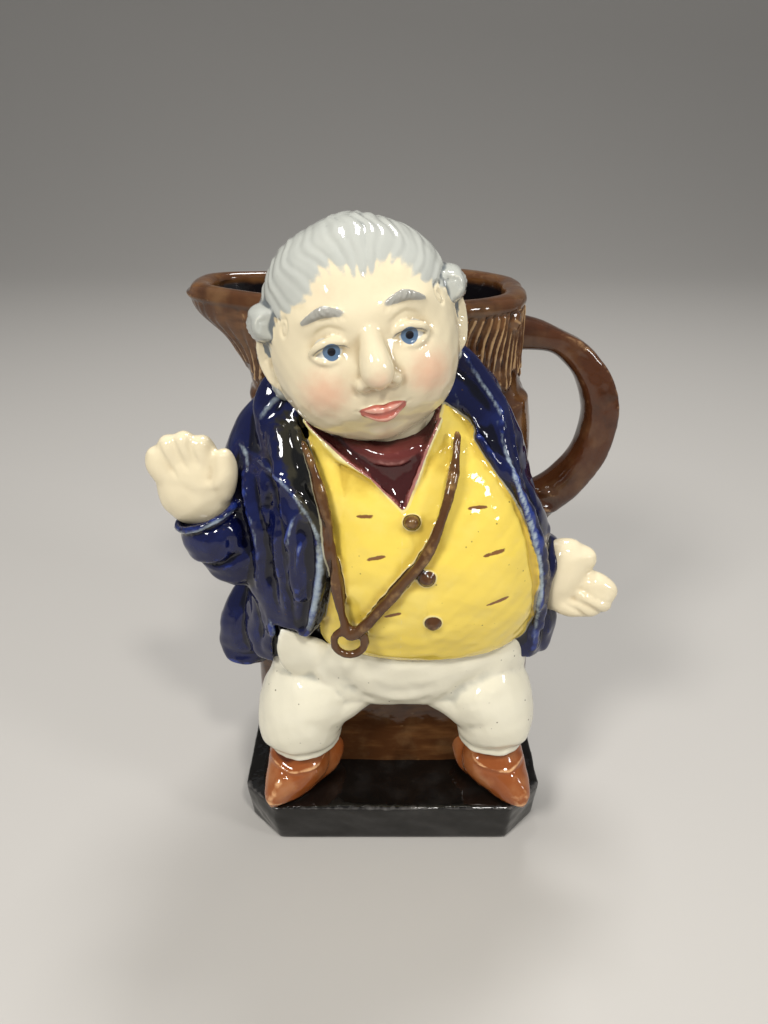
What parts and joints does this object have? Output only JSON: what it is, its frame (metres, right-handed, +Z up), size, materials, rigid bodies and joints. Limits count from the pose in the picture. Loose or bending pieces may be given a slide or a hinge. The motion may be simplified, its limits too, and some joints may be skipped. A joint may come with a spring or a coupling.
{
  "type": "toby jug",
  "caption": "Glazed earthenware pouring jug modelled as a stout standing gentleman on a chamfered plinth, with a spout, a thatched shoulder and a loop handle.",
  "frame": {"origin": "middle of the plinth's flat underside", "axes": "+Z up, the figure faces -Y, the handle is towards +X and the spout towards -X"},
  "size_m": [0.1443, 0.1153, 0.2012],
  "materials": {
    "brown_glaze": "glossy treacle-brown glaze, pale on worn ridges",
    "blue_glaze": "glossy deep cobalt glaze, pale on worn ridges",
    "yellow_glaze": "glossy yellow glaze",
    "cream_glaze": "glossy clear glaze over cream clay, tinted cheeks and lips",
    "white_glaze": "glossy off-white glaze with grey folds and a few pinholes",
    "maroon_glaze": "glossy maroon glaze",
    "orange_glaze": "glossy orange-brown glaze",
    "black_glaze": "glossy near-black glaze"
  },
  "bodies": {
    "root": {"toby_jug": "brown_glaze"}
  },
  "joints": []
}
